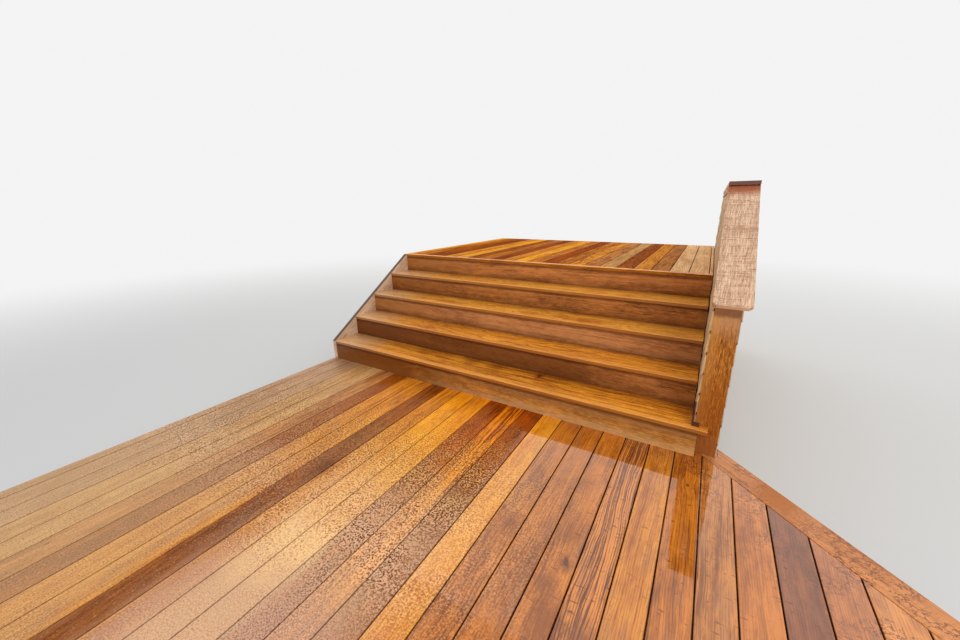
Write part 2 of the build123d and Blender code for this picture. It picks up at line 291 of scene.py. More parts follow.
# beads of rain standing on the face: where they are, and how they stand up

def buildRainBeads():
    tree, given, result = startGroup(
        "rainBeads", [("Vector", "vector"), ("Size", "value"), ("Cover", "value")],
        [("Bead", "value"), ("Dome", "value")])
    scale = calc("DIVIDE", 1.0, given["Size"])
    cell = addNode(tree, "ShaderNodeTexVoronoi", {
        "Vector": given["Vector"], "Scale": scale, "Randomness": 1.0}, voronoi_dimensions="3D")
    luck = parted(cell.outputs["Color"])
    share = calc("DIVIDE", cell.outputs["Distance"], scaled(luck[0], 0.34, 0.16))
    there = calc("LESS_THAN", luck[1], given["Cover"])
    for label, fallFrom in (("Bead", 0.75), ("Dome", 0.0)):
        plug(result[label], times(remap(share, fallFrom, 1.0, 1.0, 0.0), there))
    return tree


# counts boards laid side by side from one edge

def buildBoardCount():
    tree, given, result = startGroup(
        "boardCount", [("Position", "value"), ("Start", "value"), ("Pitch", "value")],
        [("Index", "value"), ("Share", "value")])
    steps = calc("DIVIDE", minus(given["Start"], given["Position"]), given["Pitch"])
    plug(result["Index"], calc("FLOOR", steps))
    plug(result["Share"], calc("FRACT", steps))
    return tree


# thin outlines that rain leaves where it ran and dried

trackLook = {"scale": 34.0, "line": (0.016, 0.050, 1.0, 0.0), "patches": 7.0, "patch": (0.44, 0.54)}


def buildRainTracks():
    tree, given, result = startGroup("rainTracks", [("Vector", "vector")], [("Track", "value")])
    level = noise(given["Vector"], trackLook["scale"], 3.0, 0.6)
    line = remap(calc("ABSOLUTE", minus(level, 0.5)), *trackLook["line"])
    patch = remap(noise(given["Vector"], trackLook["patches"], 2.0, 0.5), *trackLook["patch"])
    plug(result["Track"], times(line, patch))
    return tree


plankGrain = buildPlankGrain()
sawMarks = buildSawMarks()
rainTracks = buildRainTracks()
rainBeads = buildRainBeads()
boardCount = buildBoardCount()
print("shared wood effects built")


# how a board lies: the directions along its grain, across its face and through its thickness

lowRiser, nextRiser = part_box("riser_1"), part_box("riser_2")
rake = math.atan2(nextRiser[1].z - lowRiser[1].z, nextRiser[0].y - lowRiser[0].y)
upSlope = (0, math.cos(rake), math.sin(rake))
offSlope = (0, -math.sin(rake), math.cos(rake))
half = math.sqrt(0.5)
layAcross = ((1, 0, 0), (0, 1, 0), (0, 0, 1))  # along the steps, face up
layAcrossUpright = ((1, 0, 0), (0, 0, 1), (0, 1, 0))  # along the steps, on edge
layDeep = ((0, 1, 0), (1, 0, 0), (0, 0, 1))  # front to back, face up
layDeepUpright = ((0, 1, 0), (0, 0, 1), (1, 0, 0))  # front to back, on edge
layAngled = ((half, -half, 0), (half, half, 0), (0, 0, 1))
layAngledUpright = ((half, -half, 0), (0, 0, 1), (half, half, 0))
layRaked = (upSlope, (1, 0, 0), offSlope)  # up the slope, face up
layRakedUpright = (upSlope, offSlope, (1, 0, 0))  # up the slope, on edge
standFront = ((0, 0, 1), (1, 0, 0), (0, 1, 0))  # upright, face to the front
standSide = ((0, 0, 1), (0, 1, 0), (1, 0, 0))  # upright, face to the side


def boardSpace(point, lay):
    return joined(*[vectorCalc("DOT_PRODUCT", point, axis)["Value"] for axis in lay])


def startMaterial(name):
    material = bpy.data.materials.new(name)
    material.use_nodes = True
    tree = material.node_tree
    tree.nodes.clear()
    shader = addNode(tree, "ShaderNodeBsdfPrincipled")
    addNode(tree, "ShaderNodeOutputMaterial", {"Surface": shader.outputs[0]})
    point = addNode(tree, "ShaderNodeTexCoord").outputs["Object"]
    return material, shader, point


# any board but the decking; in its look:
# steps: axis, start and pitch of boards side by side that each get a grain of their own
# sawn: pitch of the saw marks; dash: torn fibres; cloud: a paler bloom; coat: a film of water
# stains, and painted shade or highlight laid the same way: axis, where each starts, where it is full, shade,
# share
# bands: axis, middle, reach, shade, share
# marks: single knots and smudges by place, reach, share of the halo, share of the heart
# wet: the halo's colour, where it isn't the dark wood
# edge: axis of the lay, limit, shade and share of an edge painted darker or paler than the face; on the
# treads, the top strip and the skirt this is painted shade, on the raked cap a painted highlight

faceLook = {
    "tornNoise": (24.0, 115.0, 2.0, 0.60),
    "torn": (0.52, 0.60),
    "bloomNoise": (4.0, 11.0, 4.0, 0.65),
    "bloom": (0.45, 0.72),
    "stainAndShadeNoise": (9.0, 30.0, 4.0, 0.6),
    "bandNoise": (9.0, 18.0, 3.0, 0.6),
    "markNoise": (60.0, 26.0, 4.0, 0.65),
    "filmNoise": (3.2, 3.0, 0.6),
    "film": (0.30, 0.62),
    "filmLeast": 0.45,  # share of the coat that is left where the film is thinnest
    "wander": 1.2,  # how far the edge of a stain or painted shade strays, as a share of its fade
    "fade": (0.0008, 0.0022),  # a painted edge ends this far round the corner
    "track": (120, 62, 40),
    "knot": (84, 36, 18),
}


def marked(point, paint, halo, marks):
    for place, reach, haloShare, heartShare in marks:
        offset = shifted(point, [-part for part in place])
        away = lengthOf(stretched(offset, 1.0, 0.6, 1.0))
        uneven = swing(drawnNoise(point, *faceLook["markNoise"]), reach * 3.0)
        ragged = plus(uneven, away)
        paint = blend(remap(ragged, reach * 0.4, reach * 2.6, haloShare, 0.0), paint, halo)
        paint = blend(remap(ragged, reach * 0.35, reach * 0.9, heartShare, 0.0), paint,
                      colour(*faceLook["knot"]))
    return paint


def timber(name, lay, look):
    material, shader, point = startMaterial(name)
    space = boardSpace(point, lay)
    seed = look.get("seed", 1.0)
    if "steps" in look:
        axis, start, pitch = look["steps"]
        count = useGroup(boardCount, {"Position": parted(point)[axis], "Start": start, "Pitch": pitch})
        seed = plus(count["Index"], seed)
    grain = useGroup(plankGrain, {
        "Vector": space, "Seed": seed, "Pale": colour(*look["pale"]), "Dark": colour(*look["dark"]),
        "Figure": look["figure"], "Fibre": look["fibre"], "Streak": look["streak"], "Knots": look["knots"],
        "Mottle": look.get("mottle", 0.5)})
    paint = grain["Colour"]
    height = times(grain["Height"], look["relief"])
    if "sawn" in look:
        saw = useGroup(sawMarks, {"Vector": space, "Pitch": look["sawn"]})
        paint = painted(paint, saw["Mark"], look["sawDark"], look["dark"])
        paint = painted(paint, saw["Band"], look["bandDark"], look["dark"])
        height = minus(height, times(saw["Mark"], look["relief"]))
    if "dash" in look:  # short torn fibres of a rough face
        torn = remap(drawnNoise(space, *faceLook["tornNoise"]), *faceLook["torn"])
        paint = painted(paint, torn, look["dashShare"], look["dash"])
        height = plus(height, times(torn, look["relief"]))
    if "cloud" in look:  # a paler bloom drifting over the board
        bloom = remap(drawnNoise(space, *faceLook["bloomNoise"]), *faceLook["bloom"])
        paint = painted(paint, bloom, look["cloudShare"], look["cloud"])
    for axis, start, full, shade, share in look.get("stainsAndShades", []):
        stray = (full - start) * faceLook["wander"]
        place = parted(point)[axis]
        edge = scaled(drawnNoise(space, *faceLook["stainAndShadeNoise"]), stray, place)
        paint = painted(paint, remap(edge, start + stray / 2, full + stray / 2), share, shade)
    for axis, middle, reach, shade, share in look.get("bands", []):
        place = parted(point)[axis]
        drift = scaled(drawnNoise(space, *faceLook["bandNoise"]), reach * 4.0, place)
        away = calc("ABSOLUTE", minus(drift, middle + reach * 2.0))
        paint = blend(remap(away, 0.0, reach, share, 0.0), paint, colour(*shade))
    if "tracks" in look:
        tracks = useGroup(rainTracks, {"Vector": point})["Track"]
        paint = painted(paint, tracks, look["tracks"], faceLook["track"])
    paint = marked(point, paint, colour(*look.get("wet", look["dark"])), look.get("marks", []))
    # an edge painted darker or paler than the face: on some boards painted shade, on one a painted highlight
    if "edge" in look:
        axis, limit, shade, share = look["edge"]
        near, far = faceLook["fade"]
        if "upper" in look:  # the edge is at the upper limit, not the lower one
            fade = (limit - far, limit - near, 0.0, share)
        else:
            fade = (limit + near, limit + far, share, 0.0)
        paint = blend(remap(parted(space)[axis], *fade), paint, colour(*shade))
    feed(shader, {
        "Base Color": paint, "Roughness": scaled(grain["Height"], 0.16, look["rough"] - 0.08),
        "Specular Tint": look.get("tint", (1, 1, 1, 1)), "Specular IOR Level": look.get("level", 0.5),
        "Normal": bumped(height, 0.55, 0.0012)})
    if look.get("coat"):
        film = remap(noise(point, *faceLook["filmNoise"]), *faceLook["film"],
                     look["coat"] * faceLook["filmLeast"], look["coat"])
        feed(shader, {
            "Coat Weight": film, "Coat Roughness": look.get("coatRough", 0.12), "Coat IOR": 1.4})
    return material


# dressing the boards

easeLook = {"weld": 1e-5, "flat": math.radians(1), "sharp": 0.35, "segments": 2}  # angles in radians


def addObject(name, data):
    item = bpy.data.objects.new(name, data)
    bpy.context.scene.collection.objects.link(item)
    return item


def meshObject(name, mesh, material):
    data = bpy.data.meshes.new(name)
    mesh.to_mesh(data)
    mesh.free()
    data.materials.append(material)
    return addObject(name, data)


def eased(node, material, width):  # the board again, with its sharp edges rounded
    mesh = bmesh.new()
    mesh.from_mesh(nodes[node].data)
    bmesh.ops.remove_doubles(mesh, verts=mesh.verts[:], dist=easeLook["weld"])
    bmesh.ops.dissolve_limit(mesh, angle_limit=easeLook["flat"], verts=mesh.verts[:], edges=mesh.edges[:])
    sharp = [edge for edge in mesh.edges
             if len(edge.link_faces) == 2 and edge.calc_face_angle() > easeLook["sharp"]]
    bmesh.ops.bevel(mesh, geom=sharp, offset=width, offset_type="OFFSET", affect="EDGES",
                    segments=easeLook["segments"], profile=0.5, material=-1, clamp_overlap=True)
    piece = meshObject(node + "Eased", mesh, material)
    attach(piece, "root")
    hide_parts(node)


def easedTimber(node, name, lay, look):
    eased(node, timber(name, lay, look), look["ease"])


def dress(material, *names):
    for name in names:
        mesh = nodes[name].data
        mesh.materials.clear()
        mesh.materials.append(material)


# decking: every board has its own tone, told by name

deckTones = {  # pale and dark wood, figure, streaks, share of knots, rain speckle, fibre, mottle
    "cream": ((255, 216, 162), (212, 156, 104), 0.40, 0.30, 0.04, 0.75, 0.50, 0.55),
    "gold": ((250, 178, 48), (196, 106, 4), 0.30, 0.20, 0.04, 0.85, 0.50, 0.60),
    "honey": ((232, 154, 56), (160, 84, 10), 0.50, 0.35, 0.06, 1.00, 0.50, 0.60),
    "orange": ((218, 132, 42), (126, 62, 12), 0.45, 0.20, 0.10, 0.65, 0.36, 0.70),
    "sand": ((220, 168, 106), (160, 104, 52), 0.40, 0.30, 0.06, 1.00, 0.58, 0.62),
    "dust": ((206, 160, 118), (146, 100, 64), 0.40, 0.25, 0.06, 0.90, 0.58, 0.62),
    "tan": ((214, 142, 76), (134, 74, 28), 0.40, 0.35, 0.08, 0.70, 0.40, 0.75),
    "peach": ((218, 136, 62), (144, 76, 30), 0.35, 0.14, 0.10, 0.20, 0.26, 0.80),
    "mauve": ((168, 98, 60), (96, 50, 34), 0.35, 0.14, 0.10, 0.20, 0.26, 0.80),
    "fawn": ((234, 156, 80), (160, 92, 40), 0.35, 0.14, 0.10, 0.20, 0.26, 0.80),
    "rose": ((208, 132, 80), (134, 76, 48), 0.35, 0.14, 0.10, 0.20, 0.26, 0.80),
    "russet": ((182, 96, 20), (110, 44, 2), 0.45, 0.30, 0.16, 0.85, 0.55, 0.62),
    "umber": ((176, 82, 12), (104, 40, 2), 0.30, 0.25, 0.08, 1.00, 0.50, 0.60),
    "walnut": ((164, 88, 22), (94, 42, 6), 0.30, 0.35, 0.08, 0.55, 0.50, 0.60),
    "striped": ((232, 146, 64), (100, 44, 18), 1.15, 0.45, 0.10, 0.15, 0.45, 0.50),
    "ribbon": ((248, 150, 18), (132, 56, 4), 0.20, 1.00, 0.02, 0.85, 0.55, 0.50),
}
deckLook = {
    "pitch": 0.1429,
    "gap": 0.0032,
    "strip": 0.024,  # the upper deck ends at the wall in a strip this wide
    "ease": 0.0025,
    "slots": 32,  # the most stops that a colour ramp holds
    "blotch": (146, 100, 82),
    "blotchNoise": (3.2, 11.0, 3.0, 0.6),
    "blotchRange": (0.50, 0.68, 0.0),  # the film gives the last value, here and in the other threes
    "ownDark": 0.22,  # how far one board is darker than the next of its tone
    "grime": (54, 16, 12),
    "grimeShare": (0.016, 0.034, 1.0, 0.0),  # from the gap, as shares of a board
    "grimeAcross": (-0.1, 0.5, 0.40, 0.80),
    "dryShare": (0.018, 0.040),  # no sheet of water over a gap
    "soakedShade": (1.14, 1.0, 0.5, 1),  # wet wood near the steps is richer, with the painted reflection and shade of the steps
    "soakedShadeLeft": (-1.35, -1.0, 0.0),
    "soakedShadeRight": (0.25, 0.0),
    "soakedShadeAlong": (-1.55, -0.95),
    "scuffNoise": (95.0, 24.0, 1.0, 0.5),
    "scuff": (0.67, 0.73),
    "scuffAcross": (0.25, 0.65, 0.0),
    "swellNoise": (5.0, 16.0, 2.0, 0.5),
    "sheetTint": (1.0, 0.92, 0.76, 1),
    "lowerOrder": "fawn fawn rose mauve peach tan orange honey striped orange orange orange gold umber "
                  "ribbon umber gold gold honey walnut honey honey russet tan sand sand dust dust dust",
    # the upper deck's pale and dark boards in turn also stand for its streaks of wet sheen: partly painted
    # reflection
    "upperOrder": "cream cream cream tan honey russet sand tan honey orange umber orange gold honey umber "
                  "orange russet gold honey umber russet orange gold",
}
rainLook = {
    "beadSize": 0.011,
    "bead": (250, 212, 156),
    "beadShare": 0.15,
    "thickNoise": (5.5, 3.0, 0.6),
    "thick": (0.36, 0.60, 0.55, 1.0),
    "thinAlong": (-2.0, -2.6, 1.0, 0.45),
    "specks": (108.0, 160.0),  # to the metre, far from the front and near it
    "apart": (0.31, 0.17, 0.0),  # from one noise to the other
    "nearAlong": (-1.9, -2.5, 0.0, 0.85),
    "shadow": (0.440, 0.475, 1.0, 0.0),
    "shadowShade": (86, 34, 16),
    "fleck": (0.525, 0.560, 0.0, 0.95),
    "fleckAcross": (-0.95, -0.25, 0.55, 1.0),
    "glints": ((255, 208, 126), (252, 214, 184)),  # towards the steps and towards the front
    "glintAlong": (-1.5, -2.0),
    "patchNoise": (2.6, 3.0, 0.6),
    "sheetNoise": (1.7, 3.0, 0.6),
    "track": (112, 58, 36),
    "trackReach": (-0.70, -0.15),  # from the angled border
}


def toneRamp(index, values):
    slots = deckLook["slots"]
    node = addNode(treeOf(index), "ShaderNodeValToRGB", {0: scaled(index, 1 / slots, 0.5 / slots)})
    ramp = node.color_ramp
    ramp.interpolation = "CONSTANT"
    ramp.elements.remove(ramp.elements[1])
    ramp.elements[0].position = 0.0
    ramp.elements[0].color = values[0]
    for place, value in enumerate(values[1:], 1):
        ramp.elements.new(place / slots).color = value
    return node.outputs


def speckled(point, paint, pale, dark, cover):  # beads too small to draw one by one: pale flecks are painted glints, dark ones painted shadow
    across, along = parted(point)[:2]
    perFar, perNear = rainLook["specks"]
    coarse = noise(point, perFar, 2.0, 0.7)
    fine = noise(shifted(point, rainLook["apart"]), perNear, 2.0, 0.7)
    nearer = remap(along, *rainLook["nearAlong"])
    sparkle = plus(coarse, times(minus(fine, coarse), nearer))
    shadow = times(remap(sparkle, *rainLook["shadow"]), cover)
    fleck = times(remap(sparkle, *rainLook["fleck"]),
                  times(cover, remap(across, *rainLook["fleckAcross"])))
    glint = blend(remap(along, *rainLook["glintAlong"]),
                  *[colour(*shade) for shade in rainLook["glints"]])
    paint = blend(shadow, paint, blend(0.50, dark, colour(*rainLook["shadowShade"])))
    return blend(fleck, paint, blend(0.62, pale, glint))


def decking(name, start, order, film, seed):
    material, shader, point = startMaterial(name)
    across, along = parted(point)[:2]
    count = useGroup(boardCount, {"Position": across, "Start": start, "Pitch": deckLook["pitch"]})
    pales, darks, habits = [], [], []  # a ramp's colour and alpha hold four numbers a board
    for tone in order.split():
        paleWood, darkWood, figure, streak, knots, speckle, fibre, mottle = deckTones[tone]
        pales.append(colour(*paleWood)[:3] + (fibre,))
        darks.append(colour(*darkWood)[:3] + (mottle,))
        habits.append((figure / 2, knots, speckle, streak))
    pales, darks, habits = (toneRamp(count["Index"], values) for values in (pales, darks, habits))
    pale, dark = pales[0], darks[0]
    halfFigure, knots, speckle = parted(habits[0])
    seeded = plus(count["Index"], seed)
    space = boardSpace(point, layDeep)
    grain = useGroup(plankGrain, {
        "Vector": space, "Seed": seeded, "Pale": pale, "Dark": dark, "Figure": times(halfFigure, 2.0),
        "Fibre": pales["Alpha"], "Mottle": darks["Alpha"], "Knots": knots, "Streak": habits["Alpha"]})
    darker = times(drawLot(seeded)["Value"], deckLook["ownDark"])
    paint = blend(darker, grain["Colour"], dark)
    ownSpace = shifted(space, joined(seeded, 0.0))
    blotch = drawnNoise(ownSpace, *deckLook["blotchNoise"])
    blotch = remap(blotch, *deckLook["blotchRange"], film["blotch"])
    paint = blend(blotch, paint, colour(*deckLook["blotch"]))

    # painted reflection of the sky on the wet boards, with painted shade and dust near the front, then beads
    # of rain, knots and the tracks of dried rain
    patchy = swing(noise(point, *rainLook["patchNoise"]), 0.5)
    driftAlong = plus(along, patchy)
    driftAcross = scaled(patchy, 0.25, across)
    for lightPatch in film["paintedLight"]:
        share = times(remap(driftAlong, *lightPatch["along"]), lightPatch["share"])
        for limits in lightPatch["across"]:
            share = times(share, remap(driftAcross, *limits))
        paint = blend(share, paint, colour(*lightPatch["shade"]))
    beaded = times(remap(along, *film["beadAlong"]), remap(across, *film["beadAcross"]))
    thick = times(remap(noise(point, *rainLook["thickNoise"]), *rainLook["thick"]),
                  remap(along, *rainLook["thinAlong"]))
    cover = times(times(speckle, beaded), thick)
    rain = useGroup(rainBeads, {"Vector": point, "Size": rainLook["beadSize"], "Cover": cover})
    paint = speckled(point, paint, pale, dark, cover)
    # each bead is painted paler: a painted highlight
    paint = painted(paint, rain["Bead"], rainLook["beadShare"], rainLook["bead"])
    paint = marked(point, paint, dark, film["knots"])
    fromBorder = [film["border"] + reach for reach in rainLook["trackReach"]]
    nearBorder = remap(plus(across, along), *fromBorder)
    tracks = useGroup(rainTracks, {"Vector": point})["Track"]
    paint = painted(paint, tracks, times(nearBorder, film["tracks"]), rainLook["track"])

    # scuffs, grime in the gaps, and soaked wood with the painted reflection and shade of the steps
    scuffs = times(remap(drawnNoise(space, *deckLook["scuffNoise"]), *deckLook["scuff"]),
                   remap(across, *deckLook["scuffAcross"], film["scuffs"]))
    paint = blend(scuffs, paint, dark)
    edge = calc("MINIMUM", count["Share"], minus(1.0, count["Share"]))
    grime = times(remap(edge, *deckLook["grimeShare"]), remap(across, *deckLook["grimeAcross"]))
    paint = blend(grime, paint, colour(*deckLook["grime"]))
    soakedShade = times(remap(across, *deckLook["soakedShadeLeft"], film["soakedShade"]),
                   remap(across, *deckLook["soakedShadeRight"]))
    soakedShade = times(soakedShade, remap(along, *deckLook["soakedShadeAlong"]))
    paint = blend(soakedShade, paint, deckLook["soakedShade"], "MULTIPLY")

    # film of water: a full coat where the rain lies as a sheet, less where it stands in beads
    shore = scaled(noise(point, *rainLook["sheetNoise"]), 0.08, across)
    sheet = remap(shore, *film["sheet"])
    sheet = times(sheet, remap(edge, *deckLook["dryShare"]))
    swell = drawnNoise(space, *deckLook["swellNoise"])
    height = plus(times(grain["Height"], 0.7), times(swell, 1.2))
    height = plus(height, rain["Dome"])
    feed(shader, {
        "Base Color": paint, "Roughness": scaled(grain["Height"], 0.14, film["dull"]),
        "Specular Tint": film["tint"], "Specular IOR Level": film["level"],
        "Coat Weight": sheet, "Coat Roughness": film["rough"], "Coat IOR": film["ior"],
        "Coat Tint": deckLook["sheetTint"], "Normal": bumped(height, 0.35, 0.0008)})
    return material


lowerFilm = {
    "border": min(vert.co.x + vert.co.y for vert in nodes["lower_angled_border"].data.vertices),
    "soakedShade": 1.0, "tracks": 0.80, "scuffs": 0.80, "blotch": 0.30, "sheet": (0.09, 0.20, 0.05, 1.0),
    "beadAlong": (-1.5, -0.6, 1.0, 0.0), "beadAcross": (-0.10, 0.95, 1.0, 0.0),
    "rough": 0.04, "ior": 1.52, "dull": 0.34, "level": 0.09, "tint": (1.0, 0.66, 0.22, 1),
    # each patch paints the sky's reflection on the wet boards paler; the last one is darker, painted shade
    # and dust near the front
    "paintedLight": [{"along": (-1.30, -1.95), "across": [(0.30, -0.05), (-0.85, -0.50)], "share": 0.48,
               "shade": (244, 200, 154)},
              {"along": (-1.90, -2.15), "across": [(-0.66, -0.54), (-0.26, -0.33)], "share": 0.62,
               "shade": (252, 212, 156)},
              {"along": (-1.60, -2.10), "across": [(-0.86, -0.98)], "share": 0.36, "shade": (226, 188, 140)},
              {"along": (-2.15, -2.50), "across": [(0.35, 0.0), (-0.80, -0.66)], "share": 0.58,
               "shade": (190, 146, 130)}],
    "knots": [((0.639, -1.665, 0.4), 0.020, 0.70, 0.85), ((0.600, -1.80, 0.4), 0.030, 0.60, 0.10),
              ((0.615, -1.50, 0.4), 0.034, 0.45, 0.0), ((0.345, -1.597, 0.4), 0.030, 0.60, 0.15),
              ((0.585, -1.143, 0.4), 0.030, 0.45, 0.0), ((0.27, -1.52, 0.4), 0.008, 0.55, 0.85),
              ((0.65, -1.93, 0.4), 0.045, 0.75, 0.05), ((0.78, -1.95, 0.4), 0.035, 0.60, 0.05),
              ((-0.93, -0.98, 0.4), 0.010, 0.55, 0.85), ((-0.766, -1.773, 0.4), 0.045, 0.60, 0.30)],
}
upperFilm = {
    "border": 9.0,  # no angled border in reach
    "soakedShade": 0.0, "tracks": 0.0, "scuffs": 0.3, "blotch": 0.15, "sheet": (-2.5, -1.0, 0.0, 0.03),
    "beadAlong": (-3.0, -2.0, 1.0, 0.0), "beadAcross": (-2.5, -1.5, 1.0, 0.0),
    "rough": 0.12, "ior": 1.4, "dull": 0.40, "level": 0.0, "tint": (1.0, 0.50, 0.16, 1),
    "paintedLight": [], "knots": [],
}
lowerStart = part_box("lower_side_border")[0].x - deckLook["gap"] / 2
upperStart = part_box("upper_deck_boards")[1].x - deckLook["strip"] - deckLook["gap"] / 2 + deckLook["pitch"]
eased("lower_deck_boards", decking("lowerDecking", lowerStart, deckLook["lowerOrder"], lowerFilm, 3.0),
      deckLook["ease"])
eased("upper_deck_boards", decking("upperDecking", upperStart, deckLook["upperOrder"], upperFilm, 71.0),
      deckLook["ease"])
print("decking finished")


# flight

treadLook = {"pale": (255, 166, 44), "dark": (150, 68, 4), "figure": 0.62, "fibre": 0.65, "streak": 0.30,
             "knots": 0.05, "relief": 1.0, "rough": 0.34, "coat": 0.60, "coatRough": 0.14,
             "tint": (1.0, 0.66, 0.22, 1), "ease": 0.0025, "frontBoard": 0.1413, "boardStep": 0.2}
# the two upper treads get a paler copy of the tread look: painted light
highTreadLook = dict(treadLook, pale=(255, 182, 62), dark=(186, 92, 12))
riserLook = {"figure": 0.45, "fibre": 0.45, "streak": 0.10, "knots": 0.04, "mottle": 0.75, "relief": 0.8,
             "rough": 0.48, "coat": 0.25, "coatRough": 0.25, "cloud": (192, 128, 74), "cloudShare": 0.35,
             "dash": (198, 132, 72), "dashShare": 0.45, "tint": (1.0, 0.7, 0.4, 1), "level": 0.25}
riserTones = {  # pale and dark wood, and the painted shade of the house at the left
    1: ((218, 148, 60), (140, 78, 16), (118, 58, 4)),
    2: ((194, 122, 62), (104, 54, 18), (128, 72, 18)),
    3: ((214, 148, 92), (144, 84, 42), (162, 100, 42)),
    4: ((196, 122, 56), (100, 50, 14), (132, 74, 20)),
    5: ((216, 138, 70), (126, 68, 26), (162, 100, 42)),
}
firstRiserLook = dict(riserLook, figure=0.35, streak=0.12, knots=0.02, mottle=0.8, relief=0.6, rough=0.50,
                      coat=0.20, cloud=(206, 150, 82), cloudShare=0.45, dash=(226, 172, 104), dashShare=0.40)

for step in range(1, 5):
    low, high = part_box(f"tread_{step}")
    look = dict(highTreadLook if step > 2 else treadLook, seed=11.0 * step,
                steps=(1, low.y + treadLook["frontBoard"], treadLook["boardStep"]),
                # the nosing's front face is painted darker: painted shade
                edge=(1, low.y, (142, 80, 36), 0.72))
    look["stainsAndShades"] = [(1, low.y + 0.07, low.y + 0.01, (248, 164, 70), 0.45),  # painted highlight towards the front edge
                      (0, -1.4, -2.0, (218, 172, 126), 0.75),  # dry at the left end
                      (1, high.y - 0.09, high.y - 0.02, (120, 60, 12), 0.40)]  # painted shade along the riser behind
    if step > 2:
        # the upper treads are painted paler towards the right: painted light
        look["stainsAndShades"].append((0, 0.10, 0.80, (255, 180, 70), 0.35))
    if step == 1:
        look["wet"] = (118, 50, 8)
        look["marks"] = [((-0.01, -0.371, high.z), 0.024, 0.70, 0.95),
                         ((-0.62, -0.325, high.z), 0.050, 0.55, 0.0),
                         ((-0.38, -0.335, high.z), 0.045, 0.50, 0.0)]
    easedTimber(f"tread_{step}", f"treadBoards{step}", layAcross, look)

for step in range(1, 6):
    low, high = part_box(f"riser_{step}")
    pale, dark, left = riserTones[step]
    look = dict(firstRiserLook if step == 1 else riserLook, pale=pale, dark=dark, seed=101.0 + step)
    if step == 1:
        look["stainsAndShades"] = [(2, high.z - 0.085, high.z - 0.035, (152, 104, 66), 0.55),
                          (2, low.z + 0.085, low.z + 0.005, (228, 184, 132), 0.45),
                          # painted shade of the house towards the left
                          (0, -0.2, -1.3, left, 0.88)]
    else:
        # painted shade of the house towards the left
        look["stainsAndShades"] = [(0, -0.7, -1.7, left, 0.60)]
        if step == 2:
            look["stainsAndShades"].append((0, 0.80, 0.20, (100, 50, 14), 0.72))
        # painted shade along the foot of the riser
        look["stainsAndShades"].append((2, low.z + 0.10, low.z + 0.01, (98, 50, 18), 0.60))
    look["stainsAndShades"].append((2, high.z - 0.030, high.z - 0.012, (70, 34, 14), 0.65))  # painted shadow under the nosing
    dress(timber(f"riserBoard{step}", layAcrossUpright, look), f"riser_{step}")

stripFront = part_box("top_nosing_strip")[0].y
# the strip's front face is painted darker: painted shade
stripLook = dict(treadLook, seed=57.0, edge=(1, stripFront, (128, 70, 26), 0.6), coat=0.0, level=0.06)
dress(timber("topStripBoard", layAcross, stripLook), "top_nosing_strip")

skirtTop = max(vert.co.dot(Vector(offSlope)) for vert in nodes["house_skirt_board"].data.vertices)
# the skirt's top edge is painted dark: painted shadow of the gap where it meets the house
skirtLook = {"pale": (244, 214, 182), "dark": (180, 140, 106), "figure": 0.35, "fibre": 0.40, "streak": 0.30,
             "knots": 0.03, "relief": 1.0, "rough": 0.62, "sawn": 0.006, "sawDark": 0.20, "bandDark": 0.15,
             "edge": (1, skirtTop, (70, 38, 24), 0.92), "upper": True, "ease": 0.002}
easedTimber("house_skirt_board", "skirtBoard", layRakedUpright, skirtLook)

borderLook = {"pale": (222, 146, 84), "dark": (166, 96, 48), "mottle": 0.35, "figure": 0.20, "fibre": 0.50,
              "streak": 0.30, "knots": 0.04, "relief": 0.8, "rough": 0.45, "coat": 0.35, "coatRough": 0.10,
              "sawn": 0.008, "sawDark": 0.40, "bandDark": 0.2, "tracks": 0.80, "wet": (178, 96, 8),
              "tint": (1.0, 0.8, 0.6, 1), "level": 0.25, "ease": 0.002}
easedTimber("lower_angled_border", "angledBorderBoard", layAngled,
            dict(borderLook, seed=5.0, marks=[((1.465, -0.765, 0.4), 0.060, 0.95, 0.0)]))
easedTimber("lower_side_border", "sideBorderBoard", layDeep, dict(borderLook, seed=8.0))


# knee wall

capLook = {"pale": (246, 208, 170), "dark": (156, 100, 66), "figure": 0.0, "fibre": 0.70, "streak": 0.12,
           "mottle": 0.10, "knots": 0.0, "relief": 1.1, "rough": 0.60, "coat": 0.15, "coatRough": 0.3,
           "sawn": 0.0075, "sawDark": 0.78, "bandDark": 0.25, "ease": 0.0025}
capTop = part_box("raked_cap")[1].z
capFront = min(vert.co.dot(Vector(upSlope)) for vert in nodes["raked_cap"].data.vertices)
# the raked cap's front end is painted paler: a painted highlight
rakedCapLook = dict(capLook, seed=21.0, stainsAndShades=[(2, capTop - 0.085, capTop - 0.025, (158, 72, 18), 0.88)],
                    bands=[(2, capTop - 0.275, 0.016, (164, 100, 62), 0.50)],
                    edge=(0, capFront, (240, 200, 160), 0.60))
levelCapLook = dict(capLook, seed=22.0, edge=(0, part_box("level_cap")[0].y, (84, 40, 36), 0.90))
easedTimber("raked_cap", "rakedCapBoard", layRaked, rakedCapLook)
easedTimber("level_cap", "levelCapBoard", layDeep, levelCapLook)

